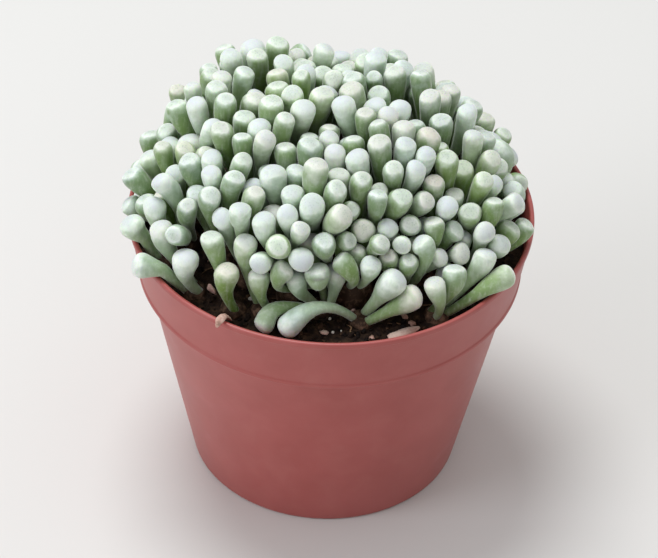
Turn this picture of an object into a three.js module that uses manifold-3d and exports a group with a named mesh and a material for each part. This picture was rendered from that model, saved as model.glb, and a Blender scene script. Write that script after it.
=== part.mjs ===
// Baby toes, Fenestraria rhopalophylla, in a round plastic nursery pot.
// Millimetres, +Z up. The origin is the middle of the pot's flat underside, and -Y is the front.
import * as THREE from 'three';
import { mergeVertices } from 'three/addons/utils/BufferGeometryUtils.js';
import Module from 'manifold-3d';

const wasm = await Module();
wasm.setup();

// Room between pieces that touch, the distance within which corners are one corner,
// and how far a fused head's surface may move where its faces are joined
const GAP = 0.3;
const WELD = 1e-4;
const SMOOTHING = 0.04;

// Pot, measured on its outside
const POT_HEIGHT = 88;
const RIM_RADIUS = 60;
const BAND_HEIGHT = 19.5;
const BAND_FOOT_RADIUS = 56.8;
const SHOULDER_RADIUS = 54.6;
const FOOT_RADIUS = 40;
const WALL = 1.4;
const FLOOR = 2;
const EDGE = 0.5;
const POT_SIDES = 30;
const DRAINS = 8;
const DRAIN_RADIUS = 4;
const DRAIN_SIDES = 6;
const DRAIN_RING_RADIUS = 27;
const BAND_FOOT = POT_HEIGHT - BAND_HEIGHT;

// Soil, highest in the middle
const SOIL_TOP = POT_HEIGHT - 7;
const SOIL_RISE = 3;
const SOIL_RADIUS = innerBandRadius(SOIL_TOP) - GAP;
const SOIL_RINGS = [0.6, 0];

// Mound that the leaf tips fill, measured to the middles of the tips.
// At its front it stands back from the rim and starts higher, so that soil and leaf feet show
const MOUND_FOOT = POT_HEIGHT + 2;
const MOUND_TOP = POT_HEIGHT + 36;
const MOUND_REACH = 56;
const MOUND_FULLNESS = 2.3;
const LUMP_HEIGHT = 0.015;
const LUMPS = [{ count: 3, start: 0.6 }, { count: 5, start: 2 }];
const BARE_FRONT = { angle: -1.5, width: 0.9, depth: 17, lift: 10 };
const SIDE_DENT = { angle: 0.3, width: 0.8, depth: 2.5 };
const MOUND_STEPS = 400;

// Heads and leaves
const SEED = 39;
const HEADS = 33;
const LEAVES = 276;
const TURN = Math.PI * (3 - Math.sqrt(5));
const HEAD_TURN_PLAY = 0.2;
const TIP_TURN_PLAY = 0.1;
const CROWN_PULL = 0.92;
const CROWN_RISE = 11;
const CROWN_ABOVE_SOIL = 2.2;
const CROWN_DEPTH = 5;
const CROWN_SIDES = 6;
const CROWN_BALL_STEP = 3;
const CROWN_GAP = 1.2;
const CROWN_REACH = 55;
const CROWN_ROUNDS = 60;
const TIP_ROOM = 6;
const CROWDING = 0.8;
const ROOT_RING = 2.9;
const SMALL_ROOT_RING = 2;
const ROOT_STEP = 2.8;
const ROOT_SINK = 1.2;
const ROOT_ROOM = 1.6;
const HOLE_ROOM = 1.2 * GAP;
const CROWDED = 5;
const TIP_RADIUS = [2.5, 4.1];
const LEAF_HEIGHT_PLAY = [-6, 2];
const HEAD_HEIGHT_PLAY = 2.4;
const BOW = 0.11;
const LEAF_SIDES = 6;

// Heads that show at the front: each crown's place, then each leaf's tip, tip radius and how far it arches
const FRONT_HEADS = [
  {
    crown: [9.5, -41.5],
    tips: [
      { at: [-12.5, -48, -2.6], radius: 3.4, arch: 7 },
      { at: [18.8, -40.5, 10.7], radius: 3.9, arch: 0 },
      { at: [24.2, -43, 4.8], radius: 3.7, arch: 0 },
    ],
  },
  {
    crown: [31.5, -38.5],
    tips: [
      { at: [50.3, -32.5, 3], radius: 3.6, arch: 1 },
      { at: [36, -37.5, 8.6], radius: 3.6, arch: 0 },
      { at: [30.2, -41.5, 4.6], radius: 3.2, arch: 0 },
      { at: [44, -29.5, 10], radius: 3.4, arch: 0 },
    ],
  },
  {
    crown: [-2, -37.5],
    tips: [
      { at: [2, -39, 9.5], radius: 3.3, arch: 0 },
      { at: [-9, -39, 10], radius: 3.3, arch: 0 },
      { at: [-5.8, -33, 17], radius: 3.3, arch: 0 },
      { at: [-18, -48, -3.4], radius: 3.1, arch: 3 },
    ],
  },
  {
    crown: [-16.5, -38],
    tips: [
      { at: [-24, -36, 18.5], radius: 3.3, arch: 0 },
      { at: [-18, -39.5, 8.2], radius: 3.2, arch: 0 },
    ],
  },
  {
    crown: [-27.5, -39],
    tips: [
      { at: [-29.6, -40.5, 8.6], radius: 3.7, arch: 0 },
      { at: [-33, -34, 17], radius: 3.4, arch: 0 },
    ],
  },
  {
    crown: [-39, -31.5],
    tips: [
      { at: [-41.5, -35, 8.2], radius: 4, arch: 0 },
      { at: [-54, -32, 3.6], radius: 3.7, arch: 1 },
      { at: [-48, -25, 11], radius: 3.6, arch: 0 },
    ],
  },
  {
    crown: [-48, -17],
    tips: [
      { at: [-57.5, -17, 5.5], radius: 3.9, arch: 0 },
      { at: [-50.5, -18, 15], radius: 3.4, arch: 0 },
    ],
  },
];

// Radius along a leaf, root to tip, as shares of its length and of its tip's radius
const CLUB = [[0, 0.34], [0.3, 0.44], [0.6, 0.61], [0.85, 0.92], [1, 1]];
const LEAF_RINGS = [0, 0.54];
const BENT_RINGS = [0, 0.3, 0.58, 0.84];
const BENT_SAG = 2.2;
const TIP_CAP = 0.86;
const TIP_EDGE = { radius: 0.92, height: 0.22 };

// Shrivelled leaves that lie on the soil and over the rim, each a flattened blade along a path
const DRY_LEAVES = [
  { path: [[-28, -45, 83.2], [-29.6, -49.2, 88.6], [-30.8, -52.6, 89.9], [-31.6, -54.6, 88.6]], width: 1.3 },
  { path: [[-33.2, -33, 82.9], [-33.6, -34.6, 85.5], [-34.4, -35.2, 88]], width: 1.4 },
  { path: [[17.5, -49.3, 82.35], [21.5, -47.8, 83], [26.5, -44.6, 82.55]], width: 1.7 },
];
const DRY_OUTLINE = [[0, 0], [0.6, 0], [1, 0.35], [0.9, 0.75], [0.5, 1], [0, 1]];
const DRY_SIDES = 6;
const DRY_THINNESS = 0.5;

// Settling: leaves push each other clear while their tips stay on the mound
const POINTS = 9;
const ROUNDS = 520;
const LIST_EVERY = 16;
const LIST_REACH = 5;
const LEAF_GAP = 0.6;
const SISTER_GAP = 0.3;
const RIM_GAP = 0.6;
const FUSED_POINTS = 1;
const PUSH = 0.42;
const STIFFNESS = 0.5;
const PULL = 0.25;
const SLACK_FROM = 0.75;
const SLACK = 0.08;
const LEAST_LENGTH = 13;

// Numbers from 0 to 1 that are the same on every run
function seededDraws(seed) {
  let state = seed;
  return () => {
    state = (state * 48271) % 2147483647;
    return state / 2147483647;
  };
}

function innerBandRadius(z) {
  const share = (z - BAND_FOOT) / BAND_HEIGHT;
  return THREE.MathUtils.lerp(BAND_FOOT_RADIUS, RIM_RADIUS, share) - WALL;
}

function soilHeight(radius) {
  return SOIL_TOP + SOIL_RISE * (1 - (radius / SOIL_RADIUS) ** 2);
}

// 1 at the middle of a dent in the mound's outline, and 0 away from it
function inDent(dent, angle) {
  const off = angle - dent.angle;
  const turned = Math.atan2(Math.sin(off), Math.cos(off));
  return Math.exp(-((turned / dent.width) ** 2));
}

function moundReach(angle) {
  const waves = LUMPS.map(({ count, start }) => LUMP_HEIGHT * Math.sin(count * angle + start));
  const dents = [BARE_FRONT, SIDE_DENT].map((dent) => dent.depth * inDent(dent, angle));
  return MOUND_REACH * (1 + waves[0] + waves[1]) - dents[0] - dents[1];
}

function moundFoot(angle) {
  return MOUND_FOOT + BARE_FRONT.lift * inDent(BARE_FRONT, angle);
}

// 0 in the mound's middle and 1 on its surface
function moundShare(x, y, z) {
  const angle = Math.atan2(y, x);
  const flat = Math.hypot(x, y) / moundReach(angle);
  const foot = moundFoot(angle);
  const high = Math.max(z - foot, 0) / (MOUND_TOP - foot);
  return (flat ** MOUND_FULLNESS + high ** MOUND_FULLNESS) ** (1 / MOUND_FULLNESS);
}

function moundPoint(slope, angle) {
  const flat = moundReach(angle) * Math.sin(slope) ** (2 / MOUND_FULLNESS);
  const foot = moundFoot(angle);
  const high = foot + (MOUND_TOP - foot) * Math.cos(slope) ** (2 / MOUND_FULLNESS);
  return new THREE.Vector3(flat * Math.cos(angle), flat * Math.sin(angle), high);
}

// Places spread evenly over the mound, on a spiral from its top to its foot
function placesOnMound(count, draw, play) {
  const slopeOf = (i) => (i / MOUND_STEPS) * (Math.PI / 2);
  const areas = [0];
  for (let i = 1; i <= MOUND_STEPS; i++) {
    const [a, b] = [moundPoint(slopeOf(i - 1), 0), moundPoint(slopeOf(i), 0)];
    areas.push(areas[i - 1] + a.distanceTo(b) * (a.x + b.x));
  }
  const places = [];
  let step = 1;
  for (let i = 0; i < count; i++) {
    const wanted = ((i + 0.5) / count) * areas[MOUND_STEPS];
    while (areas[step] < wanted) step++;
    const share = (wanted - areas[step - 1]) / (areas[step] - areas[step - 1]);
    const slope = slopeOf(step - 1 + share);
    places.push(moundPoint(slope, i * TURN + play * (draw() - 0.5)));
  }
  return places;
}

// Heads as they are planned: where each crown stands, how far it rises, and the tips that it feeds
function planFront() {
  return FRONT_HEADS.map(({ crown: [x, y], tips }) => ({
    x, y, rise: 0, own: tips, tips: tips.map(({ at }) => new THREE.Vector3(at[0], at[1], POT_HEIGHT + at[2])),
  }));
}

// Each tip goes to the nearest head that is not too full, and tips that would crowd a front leaf are left out
function planMound(front, draw) {
  const taken = front.flatMap((plan) => plan.tips);
  const middles = placesOnMound(HEADS, draw, HEAD_TURN_PLAY);
  const shares = middles.map(() => []);
  for (const tip of placesOnMound(LEAVES, draw, TIP_TURN_PLAY)) {
    if (taken.some((other) => other.distanceTo(tip) < TIP_ROOM)) continue;
    const distances = middles.map((middle, i) => middle.distanceTo(tip) + CROWDING * shares[i].length);
    shares[distances.indexOf(Math.min(...distances))].push(tip);
  }
  return shares.filter((tips) => tips.length > 0).map((tips) => {
    const pull = CROWN_PULL / tips.length;
    const x = pull * tips.reduce((sum, tip) => sum + tip.x, 0);
    const y = pull * tips.reduce((sum, tip) => sum + tip.y, 0);
    const rise = CROWN_RISE * Math.max(1 - (x * x + y * y) / (MOUND_REACH * CROWN_PULL) ** 2, 0);
    return { x, y, rise, tips };
  });
}

// Radius of the ring of roots in a head of this many leaves
function ringRadius(count) {
  const [inRing, least] = count < CROWDED ? [count, SMALL_ROOT_RING] : [count - 1, ROOT_RING];
  return Math.max(least, (ROOT_STEP * inRing) / (2 * Math.PI));
}

function crownRadius(plan) {
  return ringRadius(plan.tips.length) + ROOT_ROOM;
}

// Moves crowns apart until they stand clear of each other and of the pot
function spaceCrowns(plans) {
  for (let round = 0; round < CROWN_ROUNDS; round++) {
    plans.forEach((a, i) => {
      for (const b of plans.slice(i + 1)) {
        const distance = Math.hypot(a.x - b.x, a.y - b.y);
        const push = (crownRadius(a) + crownRadius(b) + CROWN_GAP) / distance - 1;
        if (push <= 0) continue;
        const [dx, dy] = [(push * (a.x - b.x)) / 2, (push * (a.y - b.y)) / 2];
        a.x += dx;
        a.y += dy;
        b.x -= dx;
        b.y -= dy;
      }
    });
    for (const plan of plans) {
      const inward = Math.min(1, (CROWN_REACH - crownRadius(plan)) / Math.hypot(plan.x, plan.y));
      plan.x *= inward;
      plan.y *= inward;
    }
  }
}

// Roots in a ring on the crown's flat top, in the order of their tips. A full ring has one leaf in its middle
function placeRoots(crown, tips) {
  const middle = new THREE.Vector3();
  for (const tip of tips) middle.addScaledVector(tip, 1 / tips.length);
  const away = tips.map((tip) => Math.hypot(tip.x - middle.x, tip.y - middle.y));
  const inner = tips.length < CROWDED ? -1 : away.indexOf(Math.min(...away));
  const angleOf = (i) => Math.atan2(tips[i].y - middle.y, tips[i].x - middle.x);
  const order = [...tips.keys()].filter((i) => i !== inner).sort((i, j) => angleOf(i) - angleOf(j));
  const step = (2 * Math.PI) / order.length;
  const turns = order.map((i, place) => angleOf(i) - place * step);
  const start = Math.atan2(
    turns.reduce((sum, turn) => sum + Math.sin(turn), 0),
    turns.reduce((sum, turn) => sum + Math.cos(turn), 0),
  );
  const radius = ringRadius(tips.length);
  const roots = tips.map(() => crown.clone().setZ(crown.z - ROOT_SINK));
  order.forEach((i, place) => {
    roots[i].x += radius * Math.cos(start + place * step);
    roots[i].y += radius * Math.sin(start + place * step);
  });
  return roots;
}

// The lift between neighbouring points that bends a whole chain up by this height in its middle
function archBow(height) {
  return (4 * height) / (POINTS - 1) ** 2;
}

// A head of leaves, each a chain of points from its root to the middle of its tip
function sproutHead(plan, number, draw) {
  const { x, y, rise, tips, own } = plan;
  const crown = new THREE.Vector3(x, y, soilHeight(Math.hypot(x, y)) + CROWN_ABOVE_SOIL + rise);
  const roots = placeRoots(crown, tips);
  const headPlay = HEAD_HEIGHT_PLAY * (2 * draw() - 1);
  const leaves = tips.map((tip, i) => {
    const outward = new THREE.Vector3(tip.x, tip.y, 0).normalize();
    const sideways = new THREE.Vector3(-outward.y, outward.x, 0);
    const bow = outward.multiplyScalar(BOW * draw()).addScaledVector(sideways, BOW * (draw() - 0.5));
    const tipRadius = THREE.MathUtils.lerp(...TIP_RADIUS, (draw() + draw()) / 2);
    const play = headPlay + THREE.MathUtils.lerp(...LEAF_HEIGHT_PLAY, Math.sqrt(draw()));
    const chain = [];
    for (let k = 0; k < POINTS; k++) chain.push(roots[i].clone().lerp(tip, k / (POINTS - 1)));
    const leaf = { head: number, tip, bow, tipRadius, play, chain };
    if (!own) return leaf;
    bow.z += archBow(own[i].arch);
    return { ...leaf, tipRadius: own[i].radius, ownPlace: true };
  });
  return { crown, radius: crownRadius(plan), leaves };
}

function sproutHeads(draw) {
  const front = planFront();
  const plans = [...planMound(front, draw), ...front];
  spaceCrowns(plans);
  return plans.map((plan, number) => sproutHead(plan, number, draw));
}

function clubShare(along) {
  let i = 1;
  while (CLUB[i][0] < along) i++;
  const [[a, low], [b, high]] = [CLUB[i - 1], CLUB[i]];
  return THREE.MathUtils.lerp(low, high, (along - a) / (b - a));
}

// Every chain point and crown as a ball: its place, radius, leaf and head. Crowns come last and stay put
function ballsOf(heads) {
  const leaves = heads.flatMap((head) => head.leaves);
  const balls = { places: [], radii: [], leafOf: [], headOf: [] };
  const add = (point, radius, leaf, head) => {
    balls.places.push(point.x, point.y, point.z);
    balls.radii.push(radius);
    balls.leafOf.push(leaf);
    balls.headOf.push(head);
  };
  leaves.forEach((leaf, number) => {
    leaf.chain.forEach((point, k) => {
      add(point, leaf.tipRadius * clubShare(k / (POINTS - 1)), number, leaf.head);
    });
  });
  heads.forEach(({ crown, radius }, number) => {
    for (let z = crown.z - ROOT_SINK; z > SOIL_TOP; z -= CROWN_BALL_STEP) {
      add(new THREE.Vector3(crown.x, crown.y, z), radius, -1 - number, number);
    }
  });
  return balls;
}

// Pairs of balls that may come near each other, with the distance they need
function nearPairs({ places, radii, leafOf, headOf }) {
  const pairs = [];
  for (let a = 0; a < leafOf.length; a++) {
    for (let b = a + 1; b < leafOf.length; b++) {
      if (leafOf[a] === leafOf[b]) continue;
      const sisters = headOf[a] === headOf[b];
      if (sisters && (leafOf[b] < 0 || Math.min(a % POINTS, b % POINTS) < FUSED_POINTS)) continue;
      const need = radii[a] + radii[b] + (sisters ? SISTER_GAP : LEAF_GAP);
      const dx = places[3 * a] - places[3 * b];
      const dy = places[3 * a + 1] - places[3 * b + 1];
      const dz = places[3 * a + 2] - places[3 * b + 2];
      if (dx * dx + dy * dy + dz * dz < (need + LIST_REACH) ** 2) pairs.push([a, b, need]);
    }
  }
  return pairs;
}

function pushesOf(places, pairs) {
  const moves = new Float64Array(places.length);
  for (const [a, b, need] of pairs) {
    const dx = places[3 * a] - places[3 * b];
    const dy = places[3 * a + 1] - places[3 * b + 1];
    const dz = places[3 * a + 2] - places[3 * b + 2];
    const distance = Math.hypot(dx, dy, dz);
    if (distance >= need) continue;
    const share = (PUSH * (need - distance)) / distance;
    [dx, dy, dz].forEach((d, i) => {
      moves[3 * a + i] += share * d;
      moves[3 * b + i] -= share * d;
    });
  }
  return moves;
}

// Where a leaf's tip is drawn to: its own place, or the mound's surface under or over it
function tipPull(leaf, x, y, z) {
  if (leaf.ownPlace) return [leaf.tip.x - x, leaf.tip.y - y, leaf.tip.z - z];
  const foot = moundFoot(Math.atan2(y, x));
  const wanted = 1 + leaf.play / (MOUND_TOP - MOUND_FOOT);
  const scale = wanted / moundShare(x, y, z) - 1;
  return [scale * x, scale * y, z < foot ? foot - z : scale * (z - foot)];
}

// Keeps a ball of a leaf above the soil, inside the wall and clear of the rim
function keepInPot(places, at, radius) {
  const flat = Math.hypot(places[at], places[at + 1]);
  const least = soilHeight(Math.min(flat, SOIL_RADIUS)) + radius + GAP;
  if (places[at + 2] < least && flat < RIM_RADIUS) places[at + 2] = least;
  const ring = RIM_RADIUS - WALL / 2;
  const away = flat - ring;
  const above = places[at + 2] - (POT_HEIGHT - WALL / 2);
  const need = radius + WALL / 2 + RIM_GAP;
  const distance = Math.hypot(away, above);
  if (above < 0 && away > -need) {
    const scale = (ring - need) / flat;
    places[at] *= scale;
    places[at + 1] *= scale;
  } else if (distance < need) {
    const scale = (ring + (away * need) / distance) / flat;
    places[at] *= scale;
    places[at + 1] *= scale;
    places[at + 2] += above * (need / distance - 1);
  }
}

// Moves a tip out where its leaf would be too short
function keepLength(places, root, tip) {
  const away = [0, 1, 2].map((i) => places[tip + i] - places[root + i]);
  const stretch = LEAST_LENGTH / Math.hypot(...away);
  if (stretch > 1) away.forEach((d, i) => (places[tip + i] = places[root + i] + d * stretch));
}

function settle(heads) {
  const leaves = heads.flatMap((head) => head.leaves);
  const balls = ballsOf(heads);
  const { places, radii } = balls;
  let pairs = [];
  for (let round = 0; round < ROUNDS; round++) {
    const slack = round < SLACK_FROM * ROUNDS ? 1 : SLACK;
    if (round % LIST_EVERY === 0) pairs = nearPairs(balls);
    const moves = pushesOf(places, pairs);
    leaves.forEach((leaf, number) => {
      const first = 3 * number * POINTS;
      const tip = first + 3 * (POINTS - 1);
      for (let at = first + 3; at < tip + 3; at++) places[at] += moves[at];
      tipPull(leaf, ...places.slice(tip, tip + 3)).forEach((pull, i) => {
        places[tip + i] += slack * PULL * pull;
      });
      const before = places.slice(first, tip + 3);
      for (let at = 3; at < before.length - 3; at++) {
        const middle = (before[at - 3] + before[at + 3]) / 2 + leaf.bow.getComponent(at % 3);
        places[first + at] += slack * STIFFNESS * (middle - before[at]);
      }
      keepLength(places, first, tip);
      for (let k = 1; k < POINTS; k++) keepInPot(places, first + 3 * k, radii[number * POINTS + k]);
    });
  }
  leaves.forEach((leaf, number) => {
    leaf.chain.forEach((point, k) => point.fromArray(places, 3 * (number * POINTS + k)));
  });
}

// A closed three.js geometry as a solid, with its corners joined and its collapsed faces dropped
function solidFrom(geometry) {
  const bare = geometry.clone();
  bare.deleteAttribute('normal');
  bare.deleteAttribute('uv');
  const merged = mergeVertices(bare, WELD);
  const corners = [];
  for (let i = 0; i < merged.index.count; i += 3) {
    const [a, b, c] = [merged.index.getX(i), merged.index.getX(i + 1), merged.index.getX(i + 2)];
    if (a !== b && b !== c && c !== a) corners.push(a, b, c);
  }
  const vertProperties = new Float32Array(merged.attributes.position.array);
  const triVerts = new Uint32Array(corners);
  return new wasm.Manifold(new wasm.Mesh({ numProp: 3, vertProperties, triVerts }));
}

function geometryFrom(solid) {
  const { vertProperties, triVerts } = solid.getMesh();
  const geometry = new THREE.BufferGeometry();
  geometry.setAttribute('position', new THREE.BufferAttribute(vertProperties, 3));
  geometry.setIndex(new THREE.BufferAttribute(triVerts, 1));
  geometry.computeVertexNormals();
  return geometry;
}

// An outline of [radius, height] points, turned about Z
function turned(outline, sides) {
  const points = outline.map(([radius, height]) => new THREE.Vector2(radius, height));
  return new THREE.LatheGeometry(points, sides).rotateX(Math.PI / 2);
}

function upright(radius, low, high, sides, x, y) {
  return turned([[0, low], [radius, low], [radius, high], [0, high]], sides).translate(x, y, 0);
}

// A solid that stands along Z from 0 to 1, laid along a chain of points that are evenly spaced.
// What stands above 1 goes straight on
function laidAlong(geometry, chain) {
  const curve = new THREE.CatmullRomCurve3(chain);
  const end = chain[chain.length - 1];
  const chord = end.clone().sub(chain[0]).normalize();
  const alongY = Math.abs(chord.x) < Math.abs(chord.y);
  const across = new THREE.Vector3(alongY ? 1 : 0, alongY ? 0 : 1, 0).cross(chord).normalize();
  const length = curve.getLength();
  const position = geometry.attributes.position;
  for (let i = 0; i < position.count; i++) {
    const [x, y, along] = [position.getX(i), position.getY(i), position.getZ(i)];
    const t = THREE.MathUtils.clamp(along, 0, 1);
    const ahead = curve.getTangent(t);
    const side = across.clone().addScaledVector(ahead, -across.dot(ahead)).normalize();
    const back = new THREE.Vector3().crossVectors(ahead, side);
    const point = curve.getPoint(t).addScaledVector(side, x).addScaledVector(back, y);
    point.addScaledVector(ahead, (along - t) * length);
    position.setXYZ(i, point.x, point.y, point.z);
  }
  return geometry;
}

// How far a leaf's middle stands off the straight line from its root to its tip
function sagOf(chain) {
  const straight = chain[0].clone().add(chain[POINTS - 1]).multiplyScalar(0.5);
  return straight.distanceTo(chain[(POINTS - 1) / 2]);
}

// Few sides, and rings only at the root, the middle and the edge of the rounded tip unless the leaf is bent
function leafSolid({ chain, tipRadius }) {
  const cap = (TIP_CAP * tipRadius) / new THREE.CatmullRomCurve3(chain).getLength();
  const rings = sagOf(chain) > BENT_SAG ? BENT_RINGS : LEAF_RINGS;
  const outline = [[0, 0], ...rings.map((along) => [tipRadius * clubShare(along), along])];
  outline.push([tipRadius * TIP_EDGE.radius, 1 + TIP_EDGE.height * cap], [0, 1 + cap]);
  return solidFrom(laidAlong(turned(outline, LEAF_SIDES), chain));
}

function crownFoot({ x, y }) {
  return soilHeight(Math.hypot(x, y)) - CROWN_DEPTH;
}

// The stump that a head's leaves grow from, standing in the soil
function crownSolid({ crown, radius }) {
  return solidFrom(upright(radius, crownFoot(crown), crown.z, CROWN_SIDES, crown.x, crown.y));
}

function headGeometry(head) {
  let solid = crownSolid(head);
  for (const leaf of head.leaves) solid = solid.add(leafSolid(leaf));
  return geometryFrom(solid.simplify(SMOOTHING));
}

function dryLeafGeometry({ path, width }) {
  const curve = new THREE.CatmullRomCurve3(path.map((point) => new THREE.Vector3(...point)));
  const outline = DRY_OUTLINE.map(([share, along]) => [width * share, along]);
  const blade = turned(outline, DRY_SIDES).scale(DRY_THINNESS, 1, 1);
  return geometryFrom(solidFrom(laidAlong(blade, curve.getSpacedPoints(POINTS - 1))));
}

function potGeometry() {
  const top = POT_HEIGHT;
  const outline = [
    [0, 0], [FOOT_RADIUS - EDGE, 0], [FOOT_RADIUS, EDGE],
    [SHOULDER_RADIUS, BAND_FOOT], [BAND_FOOT_RADIUS - EDGE, BAND_FOOT], [BAND_FOOT_RADIUS, BAND_FOOT + EDGE],
    [RIM_RADIUS, top - EDGE], [RIM_RADIUS - EDGE, top],
    [RIM_RADIUS - WALL + EDGE, top], [RIM_RADIUS - WALL, top - EDGE],
    [innerBandRadius(BAND_FOOT + WALL), BAND_FOOT + WALL], [SHOULDER_RADIUS - WALL, BAND_FOOT],
    [FOOT_RADIUS - WALL, FLOOR], [0, FLOOR],
  ];
  let pot = solidFrom(turned(outline, POT_SIDES));
  for (let i = 0; i < DRAINS; i++) {
    const angle = (i / DRAINS) * 2 * Math.PI;
    const [x, y] = [DRAIN_RING_RADIUS * Math.cos(angle), DRAIN_RING_RADIUS * Math.sin(angle)];
    pot = pot.subtract(solidFrom(upright(DRAIN_RADIUS, -GAP, FLOOR + GAP, DRAIN_SIDES, x, y)));
  }
  return geometryFrom(pot);
}

// Fills the pot, with a blind hole for each crown
function soilGeometry(heads) {
  const outline = [
    [0, FLOOR + GAP], [FOOT_RADIUS - WALL - GAP, FLOOR + GAP], [SHOULDER_RADIUS - WALL - GAP, BAND_FOOT],
    [innerBandRadius(BAND_FOOT + WALL) - GAP, BAND_FOOT + WALL + GAP], [SOIL_RADIUS, SOIL_TOP],
    ...SOIL_RINGS.map((share) => [share * SOIL_RADIUS, soilHeight(share * SOIL_RADIUS)]),
  ];
  let soil = solidFrom(turned(outline, POT_SIDES));
  for (const { crown, radius } of heads) {
    const low = crownFoot(crown) - GAP;
    const hole = upright(radius + HOLE_ROOM, low, POT_HEIGHT, CROWN_SIDES, crown.x, crown.y);
    soil = soil.subtract(solidFrom(hole));
  }
  return geometryFrom(soil);
}

function named(name, geometry, material) {
  const mesh = new THREE.Mesh(geometry, material);
  mesh.name = name;
  return mesh;
}

const POT_PLASTIC = { color: 0xab5f52, roughness: 0.45, metalness: 0 };
const PEAT = { color: 0x2c211b, roughness: 0.95, metalness: 0 };
const LEAF_SKIN = { color: 0xa9c0a2, roughness: 0.5, metalness: 0 };
const DRY_SKIN = { color: 0xc9a48c, roughness: 0.8, metalness: 0 };

const heads = sproutHeads(seededDraws(SEED));
settle(heads);

const plant = new THREE.Group();
plant.add(named('pot', potGeometry(), new THREE.MeshStandardMaterial(POT_PLASTIC)));
plant.add(named('soil', soilGeometry(heads), new THREE.MeshStandardMaterial(PEAT)));
heads.forEach((head, i) => {
  const name = `head_${String(i + 1).padStart(2, '0')}`;
  plant.add(named(name, headGeometry(head), new THREE.MeshStandardMaterial(LEAF_SKIN)));
});
DRY_LEAVES.forEach((leaf, i) => {
  plant.add(named(`dry_leaf_${i + 1}`, dryLeafGeometry(leaf), new THREE.MeshStandardMaterial(DRY_SKIN)));
});

export default plant;
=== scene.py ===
# Potted baby toes: a clump of club-shaped succulent leaves in a round plastic nursery pot.
# Metres, +Z up, -Y is the front. Sizes are given in millimetres and turned to metres where a mesh is made.
import math
from functools import partial

import bmesh
import bpy
import numpy as np
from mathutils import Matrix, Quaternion, Vector, noise


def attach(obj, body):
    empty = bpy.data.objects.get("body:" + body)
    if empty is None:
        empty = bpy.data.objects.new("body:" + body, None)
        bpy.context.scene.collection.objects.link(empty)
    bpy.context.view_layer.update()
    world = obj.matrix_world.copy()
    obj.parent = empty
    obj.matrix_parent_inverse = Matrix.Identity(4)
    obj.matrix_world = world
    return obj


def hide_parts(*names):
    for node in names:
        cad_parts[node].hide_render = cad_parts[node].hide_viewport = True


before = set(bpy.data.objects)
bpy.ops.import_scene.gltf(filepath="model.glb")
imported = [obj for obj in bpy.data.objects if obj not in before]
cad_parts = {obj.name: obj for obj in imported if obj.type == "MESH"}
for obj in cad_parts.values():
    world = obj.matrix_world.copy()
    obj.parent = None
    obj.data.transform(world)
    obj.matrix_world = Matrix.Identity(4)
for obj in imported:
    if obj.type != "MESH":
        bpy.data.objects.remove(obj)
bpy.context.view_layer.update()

MM = 0.001
FULL_TURN = 2 * math.pi

# Pot and soil, as in the frame: the pot measured on its outside, the soil highest in the middle.
# GAP is the room between pieces that touch
POT_HEIGHT = 88
RIM_RADIUS = 60
BAND_HEIGHT = 19.5
BAND_FOOT_RADIUS = 56.8
BAND_FOOT = POT_HEIGHT - BAND_HEIGHT
SHOULDER_RADIUS = 54.6
FOOT_RADIUS = 40
WALL = 1.4
FLOOR = 2
GAP = 0.3
DRAINS = 8
DRAIN_RADIUS = 3.9
DRAIN_RING_RADIUS = 27
SOIL_TOP = POT_HEIGHT - 7
SOIL_RISE = 3

# Mound that the leaf tips fill, measured to the middles of the tips.
# At its front it stands back from the rim and starts higher, so that soil and leaf feet show
MOUND_FOOT = POT_HEIGHT + 2
MOUND_TOP = POT_HEIGHT + 36
MOUND_REACH = 56
MOUND_FULLNESS = 2.3
MOUND_LUMP = 0.015
MOUND_LUMPS = ((3, 0.6), (5, 2.0))
BARE_FRONT = {"angle": -1.5, "width": 0.9, "depth": 17, "lift": 10}
SIDE_DENT = {"angle": 0.3, "width": 0.8, "depth": 2.5}
MOUND_STEPS = 400

# Draws from 0 to 1, each from the last one times a factor, modulo a prime
SEED = 39
DRAW_FACTOR = 48271
DRAW_PRIME = 2 ** 31 - 1

# Heads and leaves: how many, how their crowns are spaced, where leaves leave a crown, and how they vary
HEADS = 33
LEAVES = 276
GOLDEN_TURN = math.pi * (3 - math.sqrt(5))
HEAD_TURN_PLAY = 0.2
TIP_TURN_PLAY = 0.1
CROWN_PULL = 0.92
CROWN_RISE = 11
CROWN_ABOVE_SOIL = 2.2
CROWN_BALL_STEP = 3
CROWN_GAP = 1.2
CROWN_REACH = 55
CROWN_ROUNDS = 60
TIP_ROOM = 6
CROWDING = 0.8
ROOT_RING = 2.9
SMALL_ROOT_RING = 2
ROOT_STEP = 2.8
ROOT_SINK = 1.2
ROOT_ROOM = 1.6
CROWDED = 5
TIP_RADIUS = (2.5, 4.1)
LEAF_HEIGHT_PLAY = (-6, 2)
HEAD_HEIGHT_PLAY = 2.4
BOW = 0.11

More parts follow.
